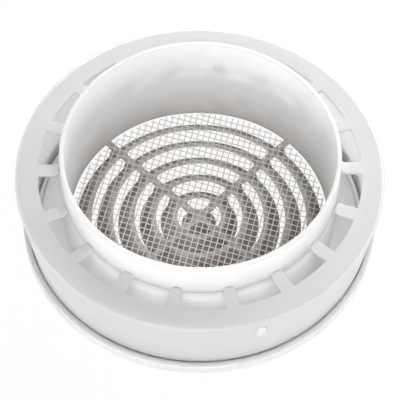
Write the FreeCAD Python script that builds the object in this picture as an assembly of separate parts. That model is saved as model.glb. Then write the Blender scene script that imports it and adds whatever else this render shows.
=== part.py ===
import FreeCAD, Part
import math
import os

os.makedirs("parts", exist_ok=True)

# All sizes are in millimetres and all angles in degrees.
# The cover lies face down: z = 0 is the front face and the spigot points up.

# Spigot that goes into the duct
spigot_bore_radius = 47.8
spigot_wall = 1.7
overall_height = 47.0
rim_bevel = 0.4
groove_top_height = 37.0
groove_bottom_height = 28.7
groove_floor_height = 32.4
groove_floor_width = 2.4
groove_depth = 0.8

# Bezel: a flange with a lip and a channel round its back and a proud sloping front
flange_radius = 65.1
flange_back_height = 7.6
flange_thickness = 3.8
flange_edge_bevel = 0.6
lip_height = 1.0
lip_width = 1.9
channel_width = 4.8
channel_depth = 2.2
channel_slope = 1.0
front_boss_wall = 2.6
front_boss_slope = 2.2
front_mouth_flare = 2.0
spigot_root_bevel = 1.0

# Louvre grille across the front end of the spigot
blade_count = 5
blade_thickness = 1.8
blade_height = 5.2
blade_flare = 3.6
spoke_count = 4
spoke_width = 2.3
spoke_first_angle = 47.0
hub_radius = 2.7

# Insect screen, shown as a coarse open grid
screen_clearance = 0.4
screen_top_gap = 0.3
screen_thickness = 0.5
screen_pitch = 8.2
screen_bar_width = 1.3
screen_border = 1.0
smallest_screen_opening = 0.2
screen_turn = -11.0

# Clamp ring with spring fingers and a tapered skirt
ring_radius = 65.9
ring_top_height = 35.8
ring_thickness = 1.6
ring_corner_bevel = 0.8
skirt_foot_radius = 62.4
skirt_foot_tuck = 1.1
skirt_foot_tuck_height = 1.4
skirt_foot_width = 1.2
skirt_wall = 1.4
skirt_foot_gap = 0.3
finger_count = 18
finger_width = 4.7
finger_length = 7.9
finger_first_angle = 2.0
finger_tip_round = 2.0
finger_tip_clearance = 0.2
finger_tip_rise = 0.8
finger_bend_reach = 3.6
skirt_hole_width = 3.6
skirt_hole_length = 7.2
skirt_hole_round = 1.7
skirt_hole_height = 28.0
skirt_hole_angle = 289.6

# Worked out from the sizes above
spigot_radius = spigot_bore_radius + spigot_wall
flange_front_height = flange_back_height - flange_thickness
lip_inner_radius = flange_radius - lip_width
lip_top_height = flange_back_height + lip_height
channel_inner_radius = lip_inner_radius - channel_width
channel_floor_height = flange_back_height - channel_depth
front_mouth_radius = spigot_bore_radius + front_mouth_flare
front_boss_radius = front_mouth_radius + front_boss_wall
blade_pitch = spigot_bore_radius / (blade_count + 1)
bore_start_height = blade_height + screen_thickness + screen_top_gap
finger_tip_radius = spigot_radius + finger_tip_clearance
slot_outer_radius = finger_tip_radius + finger_length
skirt_foot_height = flange_back_height + skirt_foot_gap
foot_end_radius = skirt_foot_radius - skirt_foot_tuck

axis_start = FreeCAD.Vector(0, 0, 0)
axis_up = FreeCAD.Vector(0, 0, 1)


def section_point(radius, height):
    return FreeCAD.Vector(radius, 0, height)


# A closed outline through corners given as (point, bevel size).
def bevelled_outline(corners):
    points = []
    for index, (corner, bevel) in enumerate(corners):
        before = (corners[index - 1][0] - corner).normalize()
        after = (corners[(index + 1) % len(corners)][0] - corner).normalize()
        points.append(corner + before * bevel)
        if bevel > 0:
            points.append(corner + after * bevel)
    return Part.makePolygon(points + points[:1])


# A closed outline through corners given as (point, rounding radius).
def rounded_outline(corners):
    edges = []
    start_points = []
    arcs = []
    for index, (corner, radius) in enumerate(corners):
        before = (corners[index - 1][0] - corner).normalize()
        after = (corners[(index + 1) % len(corners)][0] - corner).normalize()
        if radius == 0:
            start_points.append((corner, corner))
            arcs.append(None)
            continue
        half_angle = before.getAngle(after) / 2
        reach = radius / math.tan(half_angle)
        inward = (before + after).normalize()
        first = corner + before * reach
        last = corner + after * reach
        middle = corner + inward * (radius / math.sin(half_angle) - radius)
        start_points.append((first, last))
        arcs.append(Part.Arc(first, middle, last).toShape())
    for index, (first, last) in enumerate(start_points):
        if arcs[index] is not None:
            edges.append(arcs[index])
        next_first = start_points[(index + 1) % len(start_points)][0]
        edges.append(Part.LineSegment(last, next_first).toShape())
    return Part.Wire(edges)


def turned_solid(outline):
    return Part.Face(outline).revolve(axis_start, axis_up, 360)


# Every copy of a shape, turned about the spigot's axis in equal steps.
def copies_round_axis(shape, count, first_angle):
    copies = []
    for index in range(count):
        copies.append(shape.copy().rotate(axis_start, axis_up, first_angle + index * 360 / count))
    return copies


# The spigot and the bezel are one turned section, and the bore flares out below the screen.
def make_spigot_and_bezel():
    groove_radius = spigot_radius - groove_depth
    return turned_solid(bevelled_outline([
        (section_point(spigot_bore_radius, overall_height), 0),
        (section_point(spigot_radius, overall_height), rim_bevel),
        (section_point(spigot_radius, groove_top_height), 0),
        (section_point(groove_radius, groove_floor_height + groove_floor_width / 2), 0),
        (section_point(groove_radius, groove_floor_height - groove_floor_width / 2), 0),
        (section_point(spigot_radius, groove_bottom_height), 0),
        (section_point(spigot_radius, flange_back_height), spigot_root_bevel),
        (section_point(channel_inner_radius, flange_back_height), 0),
        (section_point(channel_inner_radius + channel_slope, channel_floor_height), 0),
        (section_point(lip_inner_radius, channel_floor_height), 0),
        (section_point(lip_inner_radius, lip_top_height), 0),
        (section_point(flange_radius, lip_top_height), flange_edge_bevel),
        (section_point(flange_radius, flange_front_height), flange_edge_bevel),
        (section_point(front_boss_radius + front_boss_slope, flange_front_height), 0),
        (section_point(front_boss_radius, 0), 0),
        (section_point(front_mouth_radius, 0), 0),
        (section_point(spigot_bore_radius, bore_start_height), 0),
    ]))


# A louvre blade is a ring that leans outwards towards the front.
def make_blade(top_inner_radius):
    return turned_solid(bevelled_outline([
        (section_point(top_inner_radius, blade_height), 0),
        (section_point(top_inner_radius + blade_thickness, blade_height), 0),
        (section_point(top_inner_radius + blade_thickness + blade_flare, 0), 0),
        (section_point(top_inner_radius + blade_flare, 0), 0),
    ]))


# The spokes cross on a small hub and run into the wall of the flared mouth.
def make_spokes():
    reach = front_mouth_radius + front_boss_wall / 2
    arm = Part.makeBox(reach, spoke_width, blade_height, FreeCAD.Vector(0, -spoke_width / 2, 0))
    hub = Part.makeCylinder(hub_radius, blade_height)
    return hub.fuse(copies_round_axis(arm, spoke_count, spoke_first_angle))


def make_grille_body():
    blades = []
    for index in range(blade_count):
        blades.append(make_blade(blade_pitch * (index + 1)))
    body = make_spigot_and_bezel().fuse(blades + [make_spokes()])
    return body.removeSplitter()


# The screen lies on the backs of the blades, inside the spigot.
def make_insect_screen():
    screen_radius = spigot_bore_radius - screen_clearance
    base = FreeCAD.Vector(0, 0, blade_height)
    disc = Part.makeCylinder(screen_radius, screen_thickness, base)
    inside_border = Part.makeCylinder(screen_radius - screen_border, screen_thickness, base)
    opening = screen_pitch - screen_bar_width
    full_volume = opening * opening * screen_thickness
    reach = int(screen_radius / screen_pitch) + 1
    holes = []
    for column in range(-reach, reach + 1):
        for row in range(-reach, reach + 1):
            corner = FreeCAD.Vector(column * screen_pitch - opening / 2,
                                    row * screen_pitch - opening / 2, blade_height)
            hole = Part.makeBox(opening, opening, screen_thickness, corner).common(inside_border)
            if hole.Volume > full_volume * smallest_screen_opening:
                holes.append(hole)
    return disc.cut(holes).rotate(axis_start, axis_up, screen_turn)


# One finger: a tab that bends up a little towards its rounded tip, which bears on the spigot.
def make_finger():
    half = finger_width / 2
    root = slot_outer_radius + skirt_wall
    bend = finger_tip_radius + finger_bend_reach
    top = ring_top_height
    under = ring_top_height - ring_thickness
    side = bevelled_outline([
        (FreeCAD.Vector(root, -half, under), 0),
        (FreeCAD.Vector(bend, -half, under), 0),
        (FreeCAD.Vector(finger_tip_radius, -half, under + finger_tip_rise), 0),
        (FreeCAD.Vector(finger_tip_radius, -half, top + finger_tip_rise), 0),
        (FreeCAD.Vector(bend, -half, top), 0),
        (FreeCAD.Vector(root, -half, top), 0),
    ])
    plan = rounded_outline([
        (FreeCAD.Vector(root, -half, under), 0),
        (FreeCAD.Vector(root, half, under), 0),
        (FreeCAD.Vector(finger_tip_radius, half, under), finger_tip_round),
        (FreeCAD.Vector(finger_tip_radius, -half, under), finger_tip_round),
    ])
    bent_strip = Part.Face(side).extrude(FreeCAD.Vector(0, finger_width, 0))
    tall_tab = Part.Face(plan).extrude(FreeCAD.Vector(0, 0, ring_thickness + finger_tip_rise))
    return bent_strip.common(tall_tab)


# The ring and its skirt are one turned section, with the fingers added and an oblong hole cut.
def make_clamp_ring():
    ring_under = ring_top_height - ring_thickness
    shell = turned_solid(bevelled_outline([
        (section_point(slot_outer_radius, ring_top_height), 0),
        (section_point(ring_radius, ring_top_height), ring_corner_bevel),
        (section_point(skirt_foot_radius, skirt_foot_height + skirt_foot_tuck_height), 0),
        (section_point(foot_end_radius, skirt_foot_height), 0),
        (section_point(foot_end_radius - skirt_foot_width, skirt_foot_height), 0),
        (section_point(ring_radius - skirt_wall, ring_under), 0),
        (section_point(slot_outer_radius, ring_under), 0),
    ]))
    ring = shell.fuse(copies_round_axis(make_finger(), finger_count, finger_first_angle))
    half_width = skirt_hole_width / 2
    hole_bottom = skirt_hole_height - skirt_hole_length / 2
    hole_top = skirt_hole_height + skirt_hole_length / 2
    hole = rounded_outline([
        (FreeCAD.Vector(spigot_radius, -half_width, hole_bottom), skirt_hole_round),
        (FreeCAD.Vector(spigot_radius, half_width, hole_bottom), skirt_hole_round),
        (FreeCAD.Vector(spigot_radius, half_width, hole_top), skirt_hole_round),
        (FreeCAD.Vector(spigot_radius, -half_width, hole_top), skirt_hole_round),
    ])
    cutter = Part.Face(hole).extrude(FreeCAD.Vector(ring_radius, 0, 0))
    cutter.rotate(axis_start, axis_up, skirt_hole_angle)
    return ring.cut(cutter).removeSplitter()


pieces = {
    "grille_body": make_grille_body(),
    "insect_screen": make_insect_screen(),
    "clamp_ring": make_clamp_ring(),
}
for name, shape in pieces.items():
    print(name, "solids", len(shape.Solids), "valid", shape.isValid(), "volume", round(shape.Volume, 1))
    shape.exportStep("parts/" + name + ".step")
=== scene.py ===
import bpy
import bmesh
import math
from mathutils import Matrix, Vector


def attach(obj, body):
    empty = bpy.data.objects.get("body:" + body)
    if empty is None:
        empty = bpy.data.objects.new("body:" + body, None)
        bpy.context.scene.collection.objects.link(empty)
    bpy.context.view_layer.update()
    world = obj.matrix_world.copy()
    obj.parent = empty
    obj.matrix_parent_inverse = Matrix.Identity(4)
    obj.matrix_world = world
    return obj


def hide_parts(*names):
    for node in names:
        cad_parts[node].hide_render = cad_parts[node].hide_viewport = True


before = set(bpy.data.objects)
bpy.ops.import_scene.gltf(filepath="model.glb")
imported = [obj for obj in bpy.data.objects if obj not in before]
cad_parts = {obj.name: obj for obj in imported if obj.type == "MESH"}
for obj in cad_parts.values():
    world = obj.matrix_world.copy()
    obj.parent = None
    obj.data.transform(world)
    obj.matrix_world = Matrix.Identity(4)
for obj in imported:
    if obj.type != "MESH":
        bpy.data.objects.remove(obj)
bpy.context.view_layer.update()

mm = 0.001  # settings are in millimetres, degrees and watts, unless a note says metres
weldReach = 2e-6  # metres; points closer than this become one
tiny = 1e-7  # metres; less than any real distance here
tinyAngle = 1e-4  # radians
sharpEdge = 0.5  # radians between two faces
allSmooth = 180  # a sharp angle that no edge reaches
origin = Vector((0, 0, 0))
upAxis = Vector((0, 0, 1))
scene = bpy.context.scene


def polar(radius, angle, height):
    return Vector((radius * math.cos(angle), radius * math.sin(angle), height)) * mm


def addWire(bm, points):  # closed wire through (radius, height) points in the XZ plane
    verts = [bm.verts.new((r * mm, 0, z * mm)) for r, z in points]
    edges = [bm.edges.new((a, b)) for a, b in zip(verts, verts[1:] + verts[:1])]
    return verts + edges


def turn(bm, geom, angle, steps, merge=False):  # spin about the spigot's axis, anticlockwise from above
    made = bmesh.ops.spin(bm, geom=geom, cent=origin, axis=upAxis, angle=angle, steps=steps,
                          use_merge=merge, use_normal_flip=False, use_duplicate=False)
    return made["geom_last"]


def roundEdges(bm, edges, size, segments):
    bmesh.ops.bevel(bm, geom=edges, offset=size * mm, offset_type="OFFSET", affect="EDGES",
                    segments=segments, profile=0.5, material=-1, clamp_overlap=True)


def pullEdges(bm, edges):  # extrudes edges and gives the new row's vertices and edges
    made = bmesh.ops.extrude_edge_only(bm, edges=edges)
    verts = [g for g in made["geom"] if isinstance(g, bmesh.types.BMVert)]
    fresh = set(verts)
    return verts, [e for e in bm.edges if e.verts[0] in fresh and e.verts[1] in fresh]


def ringAt(bm, radius, height):  # the circle of edges at one corner of a turned section
    def onRing(vert):
        return (abs(vert.co.xy.length - radius * mm) < weldReach
                and abs(vert.co.z - height * mm) < weldReach)
    return [e for e in bm.edges if onRing(e.verts[0]) and onRing(e.verts[1])]


def makeObject(name, bm, material, sharpAngle):
    mesh = bpy.data.meshes.new(name)
    bm.to_mesh(mesh)
    bm.free()
    mesh.polygons.foreach_set("use_smooth", [True] * len(mesh.polygons))
    mesh.set_sharp_from_angle(angle=math.radians(sharpAngle))
    mesh.materials.append(material)
    obj = bpy.data.objects.new(name, mesh)
    scene.collection.objects.link(obj)
    return obj


# materials

def startGroup(name, inputs, outputs):  # empty node group, with its sockets given as name and kind
    group = bpy.data.node_groups.new(name, "ShaderNodeTree")
    for way, sockets in (("INPUT", inputs), ("OUTPUT", outputs)):
        for label, kind in sockets.items():
            group.interface.new_socket(label, in_out=way, socket_type="NodeSocket" + kind)
    given = group.nodes.new("NodeGroupInput")
    out = group.nodes.new("NodeGroupOutput")
    return group, given.outputs, out.inputs


def addNode(tree, kind, inputs, **choices):  # a node whose inputs are linked to sockets or set to values
    node = tree.nodes.new("ShaderNode" + kind)
    for name, choice in choices.items():
        setattr(node, name, choice)
    for key, value in inputs.items():
        if isinstance(value, bpy.types.NodeSocket):
            tree.links.new(value, node.inputs[key])
        else:
            node.inputs[key].default_value = value
    return node.outputs


def addMath(tree, operation, *values):
    return addNode(tree, "Math", dict(enumerate(values)), operation=operation)["Value"]


def addMix(tree, kind, factor, first, second):
    return addNode(tree, "Mix", {"Factor": factor, "A": first, "B": second}, data_type=kind)["Result"]


def opaque(tone):
    return (*tone, 1)


skinSettings = {
    "flowDetail": 3.0, "flowDistortion": 0.6, "flowRange": (0.3, 0.7),  # slow shade from the melt's flow
    "grainDetail": 2.0, "grainShare": 0.35,  # fine skin of the mould
}


def makeMouldingGroup():  # flow shade, grain and gloss change of a moulded plastic
    s = skinSettings
    group, given, out = startGroup(
        "mouldedSkin",
        {"Vector": "Vector", "Flow Scale": "Float", "Grain Scale": "Float", "Gloss Low": "Float",
         "Gloss High": "Float", "Light Tone": "Color", "Deep Tone": "Color"},
        {"Color": "Color", "Roughness": "Float", "Height": "Float"})
    flow = addNode(group, "TexNoise", {
        "Vector": given["Vector"], "Scale": given["Flow Scale"],
        "Detail": s["flowDetail"], "Distortion": s["flowDistortion"]})["Fac"]
    grain = addNode(group, "TexNoise", {
        "Vector": given["Vector"], "Scale": given["Grain Scale"], "Detail": s["grainDetail"]})["Fac"]
    low, high = s["flowRange"]
    shade = addNode(group, "MapRange", {"Value": flow, "From Min": low, "From Max": high})["Result"]
    blend = addMath(group, "MULTIPLY_ADD", grain, s["grainShare"], shade)
    color = addMix(group, "RGBA", shade, given["Light Tone"], given["Deep Tone"])
    gloss = addMix(group, "FLOAT", blend, given["Gloss Low"], given["Gloss High"])
    for key, value in (("Color", color), ("Roughness", gloss), ("Height", grain)):
        group.links.new(value, out[key])
    return group


paintedShadeSettings = {
    "levels": (  # share of the way from the front up to the rim, share of painted shade there, more towards the bottom
        (0.0, 1.0), (0.098, 1.0), (0.106, 0.8), (0.128, 0.77), (0.135, 0.55),
        (0.21, 0.46), (0.47, 0.185), (0.79, 0.045), (1.0, 0.0),
    ),
    "facing": (-0.5, -0.2),  # none on what faces down more than this, all on what faces down less
    "cloudScale": 120.0, "cloudDetail": 4.0, "cloudRange": (0.3, 0.7), "cloudThinnest": 0.75,
    "bands": (  # radius and half its reach, height and half its reach, share of painted shadow or shade there
        (61.05, 0.45, 6.7, 1.7, 0.85), (62.1, 0.6, 6.7, 1.7, 0.6), (63.0, 0.3, 6.7, 1.7, 0.85),  # painted shadow in the channel's gap
        (64.05, 0.95, 8.45, 0.4, 0.52),  # painted shade on the lip's top
        (48.6, 1.0, 46.9, 0.35, 0.32),  # painted shade on the spigot's rim
        (48.85, 0.8, 31.9, 1.35, 0.52), (48.85, 0.8, 30.1, 0.45, 0.38),  # painted shadow under the collar, in the groove
        (48.85, 0.8, 29.2, 0.45, 0.2),
    ),
}


def makePaintedShadeGroup():  # painted shade deep inside the spigot, darker towards the bottom, and painted shadow and shade in bands round the body
    s = paintedShadeSettings
    group, given, out = startGroup(
        "paintedShading",
        {"Vector": "Vector", "Normal": "Vector", "Bore Radius": "Float", "Bore Top": "Float",
         "Amount": "Float"},
        {"Mask": "Float", "Band Shade": "Float"})
    height = addNode(group, "SeparateXYZ", {"Vector": given["Vector"]})["Z"]
    facing = addNode(group, "SeparateXYZ", {"Vector": given["Normal"]})["Z"]
    flat = addNode(group, "VectorMath", {0: given["Vector"], 1: (1, 1, 0)}, operation="MULTIPLY")["Vector"]
    radius = addNode(group, "VectorMath", {0: flat}, operation="LENGTH")["Value"]
    inside = addMath(group, "LESS_THAN", radius, given["Bore Radius"])
    level = addNode(group, "MapRange", {"Value": height, "From Max": given["Bore Top"]})["Result"]
    depth = group.nodes.new("ShaderNodeValToRGB")  # how much lies at each level
    group.links.new(level, depth.inputs["Fac"])
    stops = depth.color_ramp.elements
    stops.remove(stops[1])
    for number, (place, share) in enumerate(s["levels"]):
        stop = stops.new(place) if number else stops[0]
        stop.position = place
        stop.color = opaque((share, share, share))
    low, high = s["facing"]
    upward = addNode(group, "MapRange", {"Value": facing, "From Min": low, "From Max": high})["Result"]
    cloud = addNode(group, "TexNoise", {
        "Vector": given["Vector"], "Scale": s["cloudScale"], "Detail": s["cloudDetail"]})["Fac"]
    low, high = s["cloudRange"]
    patches = addNode(group, "MapRange", {  # painted shade in thicker and thinner patches
        "Value": cloud, "From Min": low, "From Max": high, "To Min": s["cloudThinnest"]})["Result"]
    # painted shade inside the bore, darker towards the bottom and on faces that look up
    boreShadeMask = given["Amount"]
    for factor in (inside, depth.outputs["Color"], upward, patches):
        boreShadeMask = addMath(group, "MULTIPLY", boreShadeMask, factor)
    # painted shadow and shade in bands round the body
    bandShade = 0.0
    for middle, reach, bandHeight, rise, share in s["bands"]:
        across = addMath(group, "COMPARE", radius, middle * mm, reach * mm)
        along = addMath(group, "COMPARE", height, bandHeight * mm, rise * mm)
        both = addMath(group, "MULTIPLY", across, along)
        bandShade = addMath(group, "MAXIMUM", bandShade, addMath(group, "MULTIPLY", both, share))
    group.links.new(boreShadeMask, out["Mask"])
    group.links.new(bandShade, out["Band Shade"])
    return group


plasticSettings = {"ior": 1.46, "scatterTint": (1.0, 0.97, 0.93), "coatRoughness": 0.18}  # the same for all


def makePlastic(name, settings, skinGroup, shadingGroup=None):
    material = bpy.data.materials.new(name)
    material.use_nodes = True
    tree = material.node_tree
    shader = tree.nodes["Principled BSDF"].inputs
    coords = addNode(tree, "TexCoord", {})
    skin = addNode(tree, "Group", {
        "Vector": coords["Object"],
        "Flow Scale": settings["flowScale"], "Grain Scale": settings["grainScale"],
        "Gloss Low": settings["gloss"][0], "Gloss High": settings["gloss"][1],
        "Light Tone": opaque(settings["lightTone"]), "Deep Tone": opaque(settings["deepTone"]),
    }, node_tree=skinGroup)
    color, gloss = skin["Color"], skin["Roughness"]
    if shadingGroup:
        shadingOut = addNode(tree, "Group", {
            "Vector": coords["Object"], "Normal": coords["Normal"], "Amount": settings["shadeAmount"],
            "Bore Radius": settings["boreRadius"] * mm, "Bore Top": settings["boreTop"] * mm,
        }, node_tree=shadingGroup)
        # painted shade, darker towards the bottom of the bore
        color = addMix(tree, "RGBA", shadingOut["Mask"], color, opaque(settings["boreShadeTone"]))
        # painted shadow in the channel and groove, painted shade on the lip and rim
        color = addMix(tree, "RGBA", shadingOut["Band Shade"], color, opaque(settings["bandShadeTone"]))
        gloss = addMix(tree, "FLOAT", shadingOut["Mask"], gloss, settings["boreShadeGloss"])
    bump = addNode(tree, "Bump", {"Height": skin["Height"], "Strength": settings["bumpStrength"],
                                  "Distance": settings["bumpDepth"] * mm})
    tree.links.new(color, shader["Base Color"])
    tree.links.new(gloss, shader["Roughness"])
    tree.links.new(bump["Normal"], shader["Normal"])
    shader["IOR"].default_value = plasticSettings["ior"]
    shader["Subsurface Weight"].default_value = settings["subsurface"]
    shader["Subsurface Radius"].default_value = plasticSettings["scatterTint"]
    shader["Subsurface Scale"].default_value = settings["scatter"] * mm
    shader["Coat Weight"].default_value = settings["coat"]
    shader["Coat Roughness"].default_value = plasticSettings["coatRoughness"]
    return material


bodyPlastic = {
    "flowScale": 26.0, "grainScale": 1700.0, "gloss": (0.34, 0.5),  # roughness from shiny to dull
    "lightTone": (0.98, 0.979, 0.976), "deepTone": (0.97, 0.967, 0.963),
    "bumpStrength": 0.12, "bumpDepth": 0.06, "subsurface": 1.0, "scatter": 5.0, "coat": 0.0,
    "boreRadius": 48.2, "boreTop": 47.0, "shadeAmount": 1.0, "boreShadeGloss": 0.9,
    # the first tone is painted shade deep in the bore, the second is painted shadow and shade in bands round
    # the body
    "boreShadeTone": (0.2, 0.172, 0.157), "bandShadeTone": (0.16, 0.16, 0.163),
}
ringPlastic = {
    "flowScale": 22.0, "grainScale": 1500.0, "gloss": (0.32, 0.46),
    "lightTone": (0.967, 0.972, 0.978), "deepTone": (0.953, 0.959, 0.966),
    "bumpStrength": 0.12, "bumpDepth": 0.06, "subsurface": 1.0, "scatter": 14.0, "coat": 0.45,
}
meshPlastic = {
    "flowScale": 40.0, "grainScale": 2600.0, "gloss": (0.45, 0.6),
    "lightTone": (0.66, 0.64, 0.622), "deepTone": (0.6, 0.58, 0.563),
    "bumpStrength": 0.1, "bumpDepth": 0.03, "subsurface": 0.0, "scatter": 1.0, "coat": 0.0,
}
mouldedSkin = makeMouldingGroup()
paintedShading = makePaintedShadeGroup()
whitePlastic = makePlastic("whitePlastic", bodyPlastic, mouldedSkin, paintedShading)
ringWhite = makePlastic("ringWhite", ringPlastic, mouldedSkin)
screenThread = makePlastic("screenThread", meshPlastic, mouldedSkin)
print("materials made")


# spigot, bezel and louvres

grilleSettings = {
    "section": [  # radius, height, rounding
        (47.8, 47.0, 0.3), (49.5, 47.0, 0.45),  # rim
        (49.5, 33.2, 0.6), (48.4, 31.6, 0.6), (48.4, 30.4, 1.2), (49.5, 27.2, 1.2),  # groove
        (49.5, 7.6, 1.2), (58.4, 7.6, 0.4), (59.4, 5.4, 0.4), (63.2, 5.4, 0.4),  # flange's back and channel
        (63.2, 8.6, 0.3), (65.1, 8.6, 0.5), (65.1, 3.8, 0.6),  # lip and outer edge
        (56.4, 3.8, 0.8), (54.2, 0.0, 0.7), (52.0, 0.0, 0.4), (47.8, 6.0, 0.3),  # front boss and mouth
    ],
    "turnSteps": 192, "sectionSegments": 4, "sharpAngle": 40,
    "bladeCount": 5, "bladePitch": 7.967, "bladeThickness": 1.8, "bladeHeight": 5.2, "bladeFlare": 4.8,
    "bladeEdge": 0.35, "bladeStep": 3.2, "junctionFillet": 1.3, "edgeSegments": 3,
    "filletShares": (0.0, 0.03, 0.12, 0.27, 0.47, 0.72, 1.0),
    "spokeWidth": 2.3, "firstSpoke": 47.0, "spokeReach": 50.5, "spokeTop": 5.15, "spokeFoot": 3.7,
    "spokeEdge": 0.3, "hubFillet": 2.3, "hubFilletSegments": 6, "hubSegments": 72,
}


def bladeTurns(radius):  # turning steps through one quarter, close together near the spokes
    s = grilleSettings
    half, fillet = s["spokeWidth"] / 2, s["junctionFillet"]
    near = [0.0] + [math.asin((half + fillet * share) / radius) for share in s["filletShares"]]
    openPart = math.pi / 2 - 2 * near[-1]
    between = round(openPart / math.radians(s["bladeStep"]))
    plain = [near[-1] + openPart * number / between for number in range(1, between)]
    stops = near + plain + [math.pi / 2 - angle for angle in reversed(near)]
    return [b - a for a, b in zip(stops, stops[1:])]


def makeBlade(innerRadius):
    s = grilleSettings
    thick, flare, height = s["bladeThickness"], s["bladeFlare"], s["bladeHeight"]
    bm = bmesh.new()
    geom = addWire(bm, [(innerRadius, height), (innerRadius + thick, height),
                        (innerRadius + thick + flare, 0), (innerRadius + flare, 0)])
    for step in bladeTurns(innerRadius + thick / 2 + flare / 2) * 4:  # four quarters
        geom = turn(bm, geom, step, 1)
    bmesh.ops.remove_doubles(bm, verts=bm.verts, dist=weldReach)
    fillet, half = s["junctionFillet"] * mm, s["spokeWidth"] / 2 * mm
    for vert in bm.verts:  # the faces swell into the spokes' sides
        gap = min(abs(vert.co.x), abs(vert.co.y)) - half
        if gap < fillet:
            swell = fillet - math.sqrt(fillet ** 2 - (fillet - max(gap, 0)) ** 2)
            radius = vert.co.xy.length
            middle = (innerRadius + thick / 2 + flare * (1 - vert.co.z / mm / height)) * mm
            factor = (radius + math.copysign(swell, radius - middle)) / radius
            vert.co.x *= factor
            vert.co.y *= factor
    bmesh.ops.recalc_face_normals(bm, faces=bm.faces)
    rims = [e for e in bm.edges if abs(e.verts[0].co.z - e.verts[1].co.z) < tiny
            and e.verts[0].co.xy.angle(e.verts[1].co.xy) > tinyAngle]  # level, and round the axis
    roundEdges(bm, rims, s["bladeEdge"], s["edgeSegments"])
    return bm


def makeSpokes():  # a cross with its inner corners filled
    s = grilleSettings
    half, reach = s["spokeWidth"] / 2 * mm, s["spokeReach"] * mm
    bm = bmesh.new()
    bmesh.ops.create_grid(bm, x_segments=1, y_segments=1, size=half)
    for edge in list(bm.edges):
        side = (edge.verts[0].co + edge.verts[1].co).normalized()
        verts, _ = pullEdges(bm, [edge])
        bmesh.ops.translate(bm, verts=verts, vec=side * (reach - half))
    bmesh.ops.dissolve_faces(bm, faces=list(bm.faces))
    bmesh.ops.translate(bm, verts=bm.verts, vec=(0, 0, s["spokeFoot"] * mm))
    made = bmesh.ops.extrude_face_region(bm, geom=list(bm.faces), use_keep_orig=True)
    verts = [g for g in made["geom"] if isinstance(g, bmesh.types.BMVert)]
    bmesh.ops.translate(bm, verts=verts, vec=(0, 0, (s["spokeTop"] - s["spokeFoot"]) * mm))
    bmesh.ops.recalc_face_normals(bm, faces=bm.faces)
    corners = [e for e in bm.edges if abs(e.verts[0].co.z - e.verts[1].co.z) > mm
               and e.verts[0].co.xy.length < 3 * half]  # upright, and close to the axis
    roundEdges(bm, corners, s["hubFillet"], s["hubFilletSegments"])
    tops = [e for e in bm.edges if min(v.co.z for v in e.verts) > s["spokeTop"] * mm - weldReach
            and e.calc_face_angle(0) > sharpEdge]
    roundEdges(bm, tops, s["spokeEdge"], s["edgeSegments"])
    return bm


def makeHub():  # the innermost louvre is a solid cone
    s = grilleSettings
    bm = bmesh.new()
    foot, top = s["bladeThickness"] + s["bladeFlare"], s["bladeThickness"]
    bmesh.ops.create_cone(bm, cap_ends=True, cap_tris=False, segments=s["hubSegments"],
                          depth=s["bladeHeight"] * mm, radius1=foot * mm, radius2=top * mm)
    bmesh.ops.translate(bm, verts=bm.verts, vec=(0, 0, s["bladeHeight"] / 2 * mm))
    rims = [e for e in bm.edges if e.calc_face_angle(0) > sharpEdge]
    roundEdges(bm, rims, s["bladeEdge"], s["edgeSegments"])
    return bm


def uniteWith(obj, others, sharpAngle):  # one closed moulding from overlapping ones
    for other in others:
        joint = obj.modifiers.new("joint", "BOOLEAN")
        joint.operation = "UNION"
        joint.solver = "EXACT"
        joint.object = other
    moulding = bpy.data.meshes.new_from_object(obj.evaluated_get(bpy.context.evaluated_depsgraph_get()))
    obj.modifiers.clear()
    obj.data = moulding
    moulding.name = obj.name
    moulding.set_sharp_from_angle(angle=math.radians(sharpAngle))
    for other in others:
        bpy.data.objects.remove(other)


def makeGrille():
    s = grilleSettings
    bm = bmesh.new()
    geom = addWire(bm, [(r, z) for r, z, _ in s["section"]])
    turn(bm, geom, 2 * math.pi, s["turnSteps"], merge=True)
    bmesh.ops.remove_doubles(bm, verts=bm.verts, dist=weldReach)
    bmesh.ops.recalc_face_normals(bm, faces=bm.faces)
    for radius, height, rounding in s["section"]:
        roundEdges(bm, ringAt(bm, radius, height), rounding, s["sectionSegments"])
    body = makeObject("grilleBody", bm, whitePlastic, s["sharpAngle"])
    crossing = [makeSpokes(), makeHub()]
    for number in range(1, s["bladeCount"] + 1):
        crossing.append(makeBlade(s["bladePitch"] * number))
    for part in crossing:
        bmesh.ops.rotate(part, verts=part.verts, cent=origin,
                         matrix=Matrix.Rotation(math.radians(s["firstSpoke"]), 3, "Z"))
    louvres = [makeObject("louvre", part, whitePlastic, s["sharpAngle"]) for part in crossing]
    uniteWith(body, louvres, s["sharpAngle"])
    return body


grilleBody = makeGrille()
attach(grilleBody, "cover")
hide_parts("grille_body")
print("grille body made,", len(grilleBody.data.polygons), "faces")


# insect screen

screenSettings = {
    "radius": 47.3, "height": 5.45, "thread": 0.4, "weave": 0.07, "rows": 21,  # rows each side of the middle
    "turn": -12.4, "skew": -4.7, "pitch": (2.28, 2.37), "rimMargin": 1.0, "endMargin": 0.4, "sharpAngle": 50,
}


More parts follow.
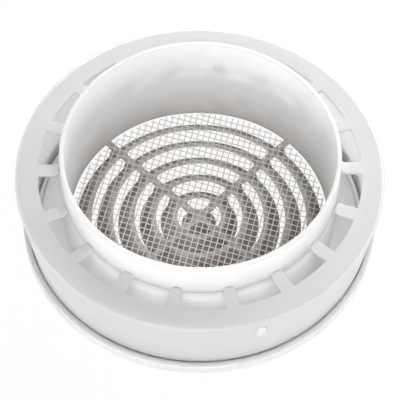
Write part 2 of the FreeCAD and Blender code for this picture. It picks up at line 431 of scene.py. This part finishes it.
def addThread(curve, family, row):  # one thread, over and under the ones that it crosses
    s = screenSettings
    lean = math.radians(s["turn"]), math.radians(s["turn"] + 90 + s["skew"])  # the way each family is spaced
    side = Vector((math.cos(lean[family]), math.sin(lean[family])))
    along = Vector((-side.y, side.x))
    otherSide = Vector((math.cos(lean[1 - family]), math.sin(lean[1 - family])))
    start = side * (row * s["pitch"][family])
    if start.length > s["radius"] - s["rimMargin"]:
        return
    half = math.sqrt(s["radius"] ** 2 - start.length_squared)
    points = []
    for crossing in range(-s["rows"], s["rows"] + 1):
        reach = (crossing * s["pitch"][1 - family] - otherSide.dot(start)) / otherSide.dot(along)
        lift = s["weave"] if (row + crossing + family) % 2 else -s["weave"]
        if abs(reach) < half - s["endMargin"]:
            points.append((reach, lift))
    points = [(-half, 0.0)] + sorted(points) + [(half, 0.0)]
    spline = curve.splines.new("NURBS")
    spline.points.add(len(points) - 1)
    for point, (reach, lift) in zip(spline.points, points):
        spot = start + along * reach
        point.co = (spot.x * mm, spot.y * mm, lift * mm, 1)
    spline.order_u = 3
    spline.use_endpoint_u = True
    spline.resolution_u = 2


def makeScreen():
    s = screenSettings
    curve = bpy.data.curves.new("screenThreads", "CURVE")
    curve.dimensions = "3D"
    curve.bevel_depth = s["thread"] / 2 * mm
    curve.bevel_resolution = 1
    curve.use_fill_caps = True
    for row in range(-s["rows"], s["rows"] + 1):
        addThread(curve, 0, row)
        addThread(curve, 1, row)
    holder = bpy.data.objects.new("screenThreads", curve)
    mesh = bpy.data.meshes.new_from_object(holder)
    bm = bmesh.new()
    bm.from_mesh(mesh)
    bpy.data.objects.remove(holder)
    bpy.data.meshes.remove(mesh)
    bmesh.ops.translate(bm, verts=bm.verts, vec=(0, 0, s["height"] * mm))
    return makeObject("insectScreen", bm, screenThread, s["sharpAngle"])


insectScreen = makeScreen()
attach(insectScreen, "cover")
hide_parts("insect_screen")
print("insect screen made,", len(insectScreen.data.polygons), "faces")


# clamp ring

ringSettings = {
    "outerRadius": 65.9, "topHeight": 35.8, "topStep": 3.0, "cornerStep": 2.4, "cornerRound": 1.2,
    "cornerSegments": 5, "footRadius": 62.85, "footHeight": 8.6, "footTuck": 1.3, "footDrop": 0.7,
    "skirtSteps": 6, "wall": 1.3, "weld": 0.003,
    "fingerCount": 18, "firstFinger": 2.0, "fingerWidth": 4.7, "fingerStep": 2.2, "slotRadius": 57.6,
    "slotSteps": 4, "bendReach": 3.6, "bendStep": 0.8, "bendPower": 1.5,
    "tipRadius": 50.0, "tipRound": 2.0, "tipSteps": 5, "tipRise": 0.8,
    "edgeRound": 0.3, "edgeSegments": 3, "edgeAngle": 42, "shadeWeight": 60,
}
holeSettings = {
    "width": 3.5, "length": 7.2, "height": 28.0, "angle": 289.6, "margin": 0.9, "segments": 28,
    "cutReach": 6.0, "outerSide": 50.0,  # how far the cuts run, and how far out the skirt's faces lie
    "plugRise": 0.95, "plugSegments": (40, 20), "stemStart": 0.02, "stemLength": 1.0,
}


def fingerRows():  # distance from the axis, half width and rise of each row, root to tip
    s = ringSettings
    half, tip, rounding = s["fingerWidth"] / 2, s["tipRadius"], s["tipRound"]
    bend = tip + s["bendReach"]
    rows = [(bend + s["fingerStep"], half), (bend, half), (bend - s["bendStep"], half)]
    for step in range(s["tipSteps"] + 1):
        angle = math.radians(90 * step / s["tipSteps"])
        rows.append((tip + rounding * (1 - math.sin(angle)), half - rounding + rounding * math.cos(angle)))
    return [(x, width, s["tipRise"] * (max(bend - x, 0) / s["bendReach"]) ** s["bendPower"])
            for x, width in rows]


def outerRows():  # radius and height of each row: top of the ring, its outer corner and the skirt
    s = ringSettings
    rows = [(s["slotRadius"] + s["topStep"], s["topHeight"]),
            (s["outerRadius"] - s["cornerStep"], s["topHeight"]), (s["outerRadius"], s["topHeight"])]
    for step in range(1, s["skirtSteps"] + 1):
        share = step / s["skirtSteps"]
        rows.append((s["outerRadius"] + (s["footRadius"] - s["outerRadius"]) * share,
                     s["topHeight"] + (s["footHeight"] - s["topHeight"]) * share))
    return rows + [(s["footRadius"] - s["footTuck"], s["footHeight"] - s["footDrop"])]


def makeSector():  # one finger with its share of the ring's top and skirt, as a thin sheet
    s = ringSettings
    bm = bmesh.new()
    pitch = math.pi / s["fingerCount"]
    half = math.asin(s["fingerWidth"] / 2 / s["slotRadius"])
    last = [bm.verts.new(polar(s["slotRadius"], -pitch, s["topHeight"]))]
    for angle, steps in ((pitch - half, s["slotSteps"]), (2 * half, 1), (pitch - half, s["slotSteps"])):
        last = turn(bm, last, angle, steps)
    outer = list(bm.edges)
    edge = min(outer, key=lambda e: abs(e.verts[0].co.y + e.verts[1].co.y))  # the finger's root
    for x, width, rise in fingerRows():
        verts, (edge,) = pullEdges(bm, [edge])
        for vert in verts:
            vert.co = (x * mm, math.copysign(width * mm, vert.co.y), (s["topHeight"] + rise) * mm)
    radius, height = s["slotRadius"], s["topHeight"]
    for nextRadius, nextHeight in outerRows():
        verts, outer = pullEdges(bm, outer)
        factor = nextRadius / radius
        bmesh.ops.scale(bm, verts=verts, vec=(factor, factor, 1))
        bmesh.ops.translate(bm, verts=verts, vec=(0, 0, (nextHeight - height) * mm))
        radius, height = nextRadius, nextHeight
    return bm


def holePlace():  # middle of the skirt's hole, the way that it faces, and both as a matrix
    s = ringSettings
    lean = math.atan((s["outerRadius"] - s["footRadius"]) / (s["topHeight"] - s["footHeight"]))
    angle, height = math.radians(holeSettings["angle"]), holeSettings["height"]
    radius = s["footRadius"] + (height - s["footHeight"]) * math.tan(lean)
    centre = polar(radius, angle, height)
    facing = Vector((math.cos(angle) * math.cos(lean), math.sin(angle) * math.cos(lean), -math.sin(lean)))
    return centre, facing, Matrix.Translation(centre) @ facing.to_track_quat("Z", "Y").to_matrix().to_4x4()


def makePlug():  # white domed plug that fills the hole
    s = holeSettings
    centre, facing, place = holePlace()
    shape = Matrix.Diagonal(Vector((s["width"] / 2, s["length"] / 2, s["plugRise"])) * mm).to_4x4()
    around, over = s["plugSegments"]
    bm = bmesh.new()
    bmesh.ops.create_uvsphere(bm, u_segments=around, v_segments=over, radius=1.0, matrix=place @ shape)
    hidden = [v for v in bm.verts if (v.co - centre).dot(facing) < -s["stemStart"] * mm]
    bmesh.ops.translate(bm, verts=hidden, vec=-facing * s["stemLength"] * mm)  # its stem goes into the wall
    return makeObject("holePlug", bm, whitePlastic, allSmooth)


def cutSkirtHole(bm):  # a square patch of the skirt gives way to a ring of faces round the hole
    s = holeSettings
    centre, facing, place = holePlace()
    angle = math.radians(s["angle"])
    reach, tall = s["width"] / 2 + s["margin"], s["length"] / 2 + s["margin"]
    side = Vector((-math.sin(angle), math.cos(angle), 0))

    def nearHole(margin):
        return [f for f in bm.faces if f.calc_center_median().dot(facing) > s["outerSide"] * mm
                and abs((f.calc_center_median() - centre).dot(side)) < (reach + margin) * mm
                and abs(f.calc_center_median().z - centre.z) < (tall + margin) * mm]
    for way, size in ((side, reach), (side, -reach), (upAxis, tall), (upAxis, -tall)):
        faces = nearHole(s["cutReach"])
        corners = dict.fromkeys(v for f in faces for v in f.verts)
        sides = dict.fromkeys(e for f in faces for e in f.edges)
        geom = [*faces, *sides, *corners]
        bmesh.ops.bisect_plane(bm, geom=geom, dist=tiny, plane_co=centre + way * size * mm, plane_no=way)
    patch = nearHole(0)
    rim = [e for f in patch for e in f.edges if sum(other in patch for other in e.link_faces) == 1]
    bmesh.ops.delete(bm, geom=patch, context="FACES")
    made = bmesh.ops.create_circle(bm, cap_ends=False, radius=s["width"] / 2 * mm,
                                   segments=s["segments"], matrix=place)
    along = (upAxis - facing * facing.z).normalized()  # up the skirt
    stretch = (s["length"] - s["width"]) / 2 * mm
    for vert in made["verts"]:
        vert.co += along * math.copysign(stretch, (vert.co - centre).dot(along) + tiny)
    circle = list(dict.fromkeys(e for v in made["verts"] for e in v.link_edges))
    bmesh.ops.bridge_loops(bm, edges=[e for e in rim if e.is_valid] + circle)


def faceOutwards(bm):  # the open sheet's faces point up and out
    bmesh.ops.recalc_face_normals(bm, faces=bm.faces)
    top = max(bm.faces, key=lambda f: f.calc_center_median().z)
    if top.normal.z < 0:
        bmesh.ops.reverse_faces(bm, faces=bm.faces)


def makeRing():
    s = ringSettings
    bm = makeSector()
    count = s["fingerCount"]
    everything = list(bm.verts) + list(bm.edges) + list(bm.faces)
    bmesh.ops.spin(bm, geom=everything, cent=origin, axis=upAxis, angle=2 * math.pi * (count - 1) / count,
                   steps=count - 1, use_merge=False, use_normal_flip=False, use_duplicate=True)
    bmesh.ops.remove_doubles(bm, verts=bm.verts, dist=s["weld"] * mm)
    faceOutwards(bm)
    roundEdges(bm, ringAt(bm, s["outerRadius"], s["topHeight"]), s["cornerRound"], s["cornerSegments"])
    bmesh.ops.rotate(bm, verts=bm.verts, cent=origin,
                     matrix=Matrix.Rotation(math.radians(s["firstFinger"]), 3, "Z"))
    cutSkirtHole(bm)
    faceOutwards(bm)
    obj = makeObject("clampRing", bm, ringWhite, allSmooth)
    wall = obj.modifiers.new("wall", "SOLIDIFY")
    wall.thickness = s["wall"] * mm
    wall.offset = -1
    wall.use_even_offset = True
    edges = obj.modifiers.new("edges", "BEVEL")
    edges.width = s["edgeRound"] * mm
    edges.segments = s["edgeSegments"]
    edges.limit_method = "ANGLE"
    edges.angle_limit = math.radians(s["edgeAngle"])
    edges.use_clamp_overlap = False
    shade = obj.modifiers.new("shade", "WEIGHTED_NORMAL")
    shade.weight = s["shadeWeight"]
    return obj


clampRing = makeRing()
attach(clampRing, "ring")
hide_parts("clamp_ring")
holePlug = makePlug()
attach(holePlug, "ring")
print("clamp ring made,", len(clampRing.data.polygons), "faces before its wall")


# floor, light and camera

stageSettings = {
    "floorSize": 6.0,  # metres
    "floorTone": (0.85, 0.85, 0.85), "floorDrop": 0.3, "whiteShare": 0.96,
    "worldTone": (1.0, 1.0, 1.0), "worldStrength": 0.02,
}


def makeFloor():  # white where it is seen, and pale where it passes light on
    s = stageSettings
    bm = bmesh.new()
    bmesh.ops.create_grid(bm, x_segments=1, y_segments=1, size=s["floorSize"] / 2)
    bmesh.ops.translate(bm, verts=bm.verts, vec=(0, 0, -s["floorDrop"] * mm))
    material = bpy.data.materials.new("paleFloor")
    material.use_nodes = True
    tree = material.node_tree
    tree.nodes.clear()
    paint = addNode(tree, "BsdfDiffuse", {"Color": opaque(s["floorTone"])})["BSDF"]
    white = addNode(tree, "Emission", {})["Emission"]
    path = addNode(tree, "LightPath", {})
    seen = addMath(tree, "MAXIMUM", path["Is Camera Ray"], path["Is Glossy Ray"])
    seen = addMath(tree, "MAXIMUM", seen, path["Is Transmission Ray"])
    share = addMath(tree, "MULTIPLY", seen, s["whiteShare"])
    mix = addNode(tree, "MixShader", {"Fac": share, 1: paint, 2: white})["Shader"]
    addNode(tree, "OutputMaterial", {"Surface": mix})
    floor = makeObject("floor", bm, material, allSmooth)


def makeWorld():  # faint light all round, and a white background
    s = stageSettings
    world = bpy.data.worlds.new("studio")
    scene.world = world
    world.use_nodes = True
    tree = world.node_tree
    tree.nodes.clear()
    soft = addNode(tree, "Background", {"Color": opaque(s["worldTone"]), "Strength": s["worldStrength"]})
    white = addNode(tree, "Background", {"Color": (1, 1, 1, 1)})
    path = addNode(tree, "LightPath", {})
    mix = addNode(tree, "MixShader", {"Fac": path["Is Camera Ray"], 1: soft["Background"],
                                      2: white["Background"]})["Shader"]
    addNode(tree, "OutputWorld", {"Surface": mix})


lampSettings = {
    "size": (0.6, 0.36), "aim": (0.0, 0.0, 0.02),  # metres
    "lamps": {  # place in metres, power
        "frontHigh": ((0.0, -0.48, 0.78), 5.7),
        "frontLow": ((0.0, -0.88, 0.21), 1.9),
        "rightLow": ((0.88, 0.0, 0.21), 1.5),
        "leftLow": ((-0.88, -0.1, 0.21), 2.0),
        "backRight": ((0.52, 0.52, 0.54), 3.4),
        "backHigh": ((0.0, 0.74, 0.54), 4.2),
    },
}


def makeLamp(name, place, power):
    s = lampSettings
    light = bpy.data.lights.new(name, "AREA")
    light.shape = "RECTANGLE"
    light.size, light.size_y = s["size"]
    light.energy = power
    lamp = bpy.data.objects.new(name, light)
    lamp.location = place
    lamp.rotation_mode = "QUATERNION"
    lamp.rotation_quaternion = (Vector(s["aim"]) - Vector(place)).to_track_quat("-Z", "Y")
    scene.collection.objects.link(lamp)


makeFloor()
makeWorld()
for lampName, (lampPlace, lampPower) in lampSettings["lamps"].items():
    makeLamp(lampName, lampPlace, lampPower)
print("floor and light made")

cameraSettings = {
    "lens": 135.0, "sensor": 36.0, "elevation": 56.02, "distance": 550.4, "aim": (0.18, 0.0, 15.83),
    "roll": 1.19, "clip": (10.0, 20000.0),
    "bounces": 24,  # light goes to and fro many times behind the ring
}


def makeCamera():
    s = cameraSettings
    data = bpy.data.cameras.new("camera")
    data.lens = s["lens"]
    data.sensor_width = s["sensor"]
    data.clip_start, data.clip_end = s["clip"][0] * mm, s["clip"][1] * mm
    camera = bpy.data.objects.new("camera", data)
    tilt = math.radians(s["elevation"])
    back = Vector((0, -math.cos(tilt), math.sin(tilt)))
    roll = Matrix.Rotation(math.radians(s["roll"]), 4, "Z").to_quaternion()
    camera.location = Vector(s["aim"]) * mm + back * s["distance"] * mm
    camera.rotation_mode = "QUATERNION"
    camera.rotation_quaternion = (-back).to_track_quat("-Z", "Y") @ roll
    scene.collection.objects.link(camera)
    scene.camera = camera


makeCamera()
scene.view_settings.view_transform = "Standard"
scene.cycles.max_bounces = cameraSettings["bounces"]
scene.cycles.diffuse_bounces = cameraSettings["bounces"]
print("camera made")
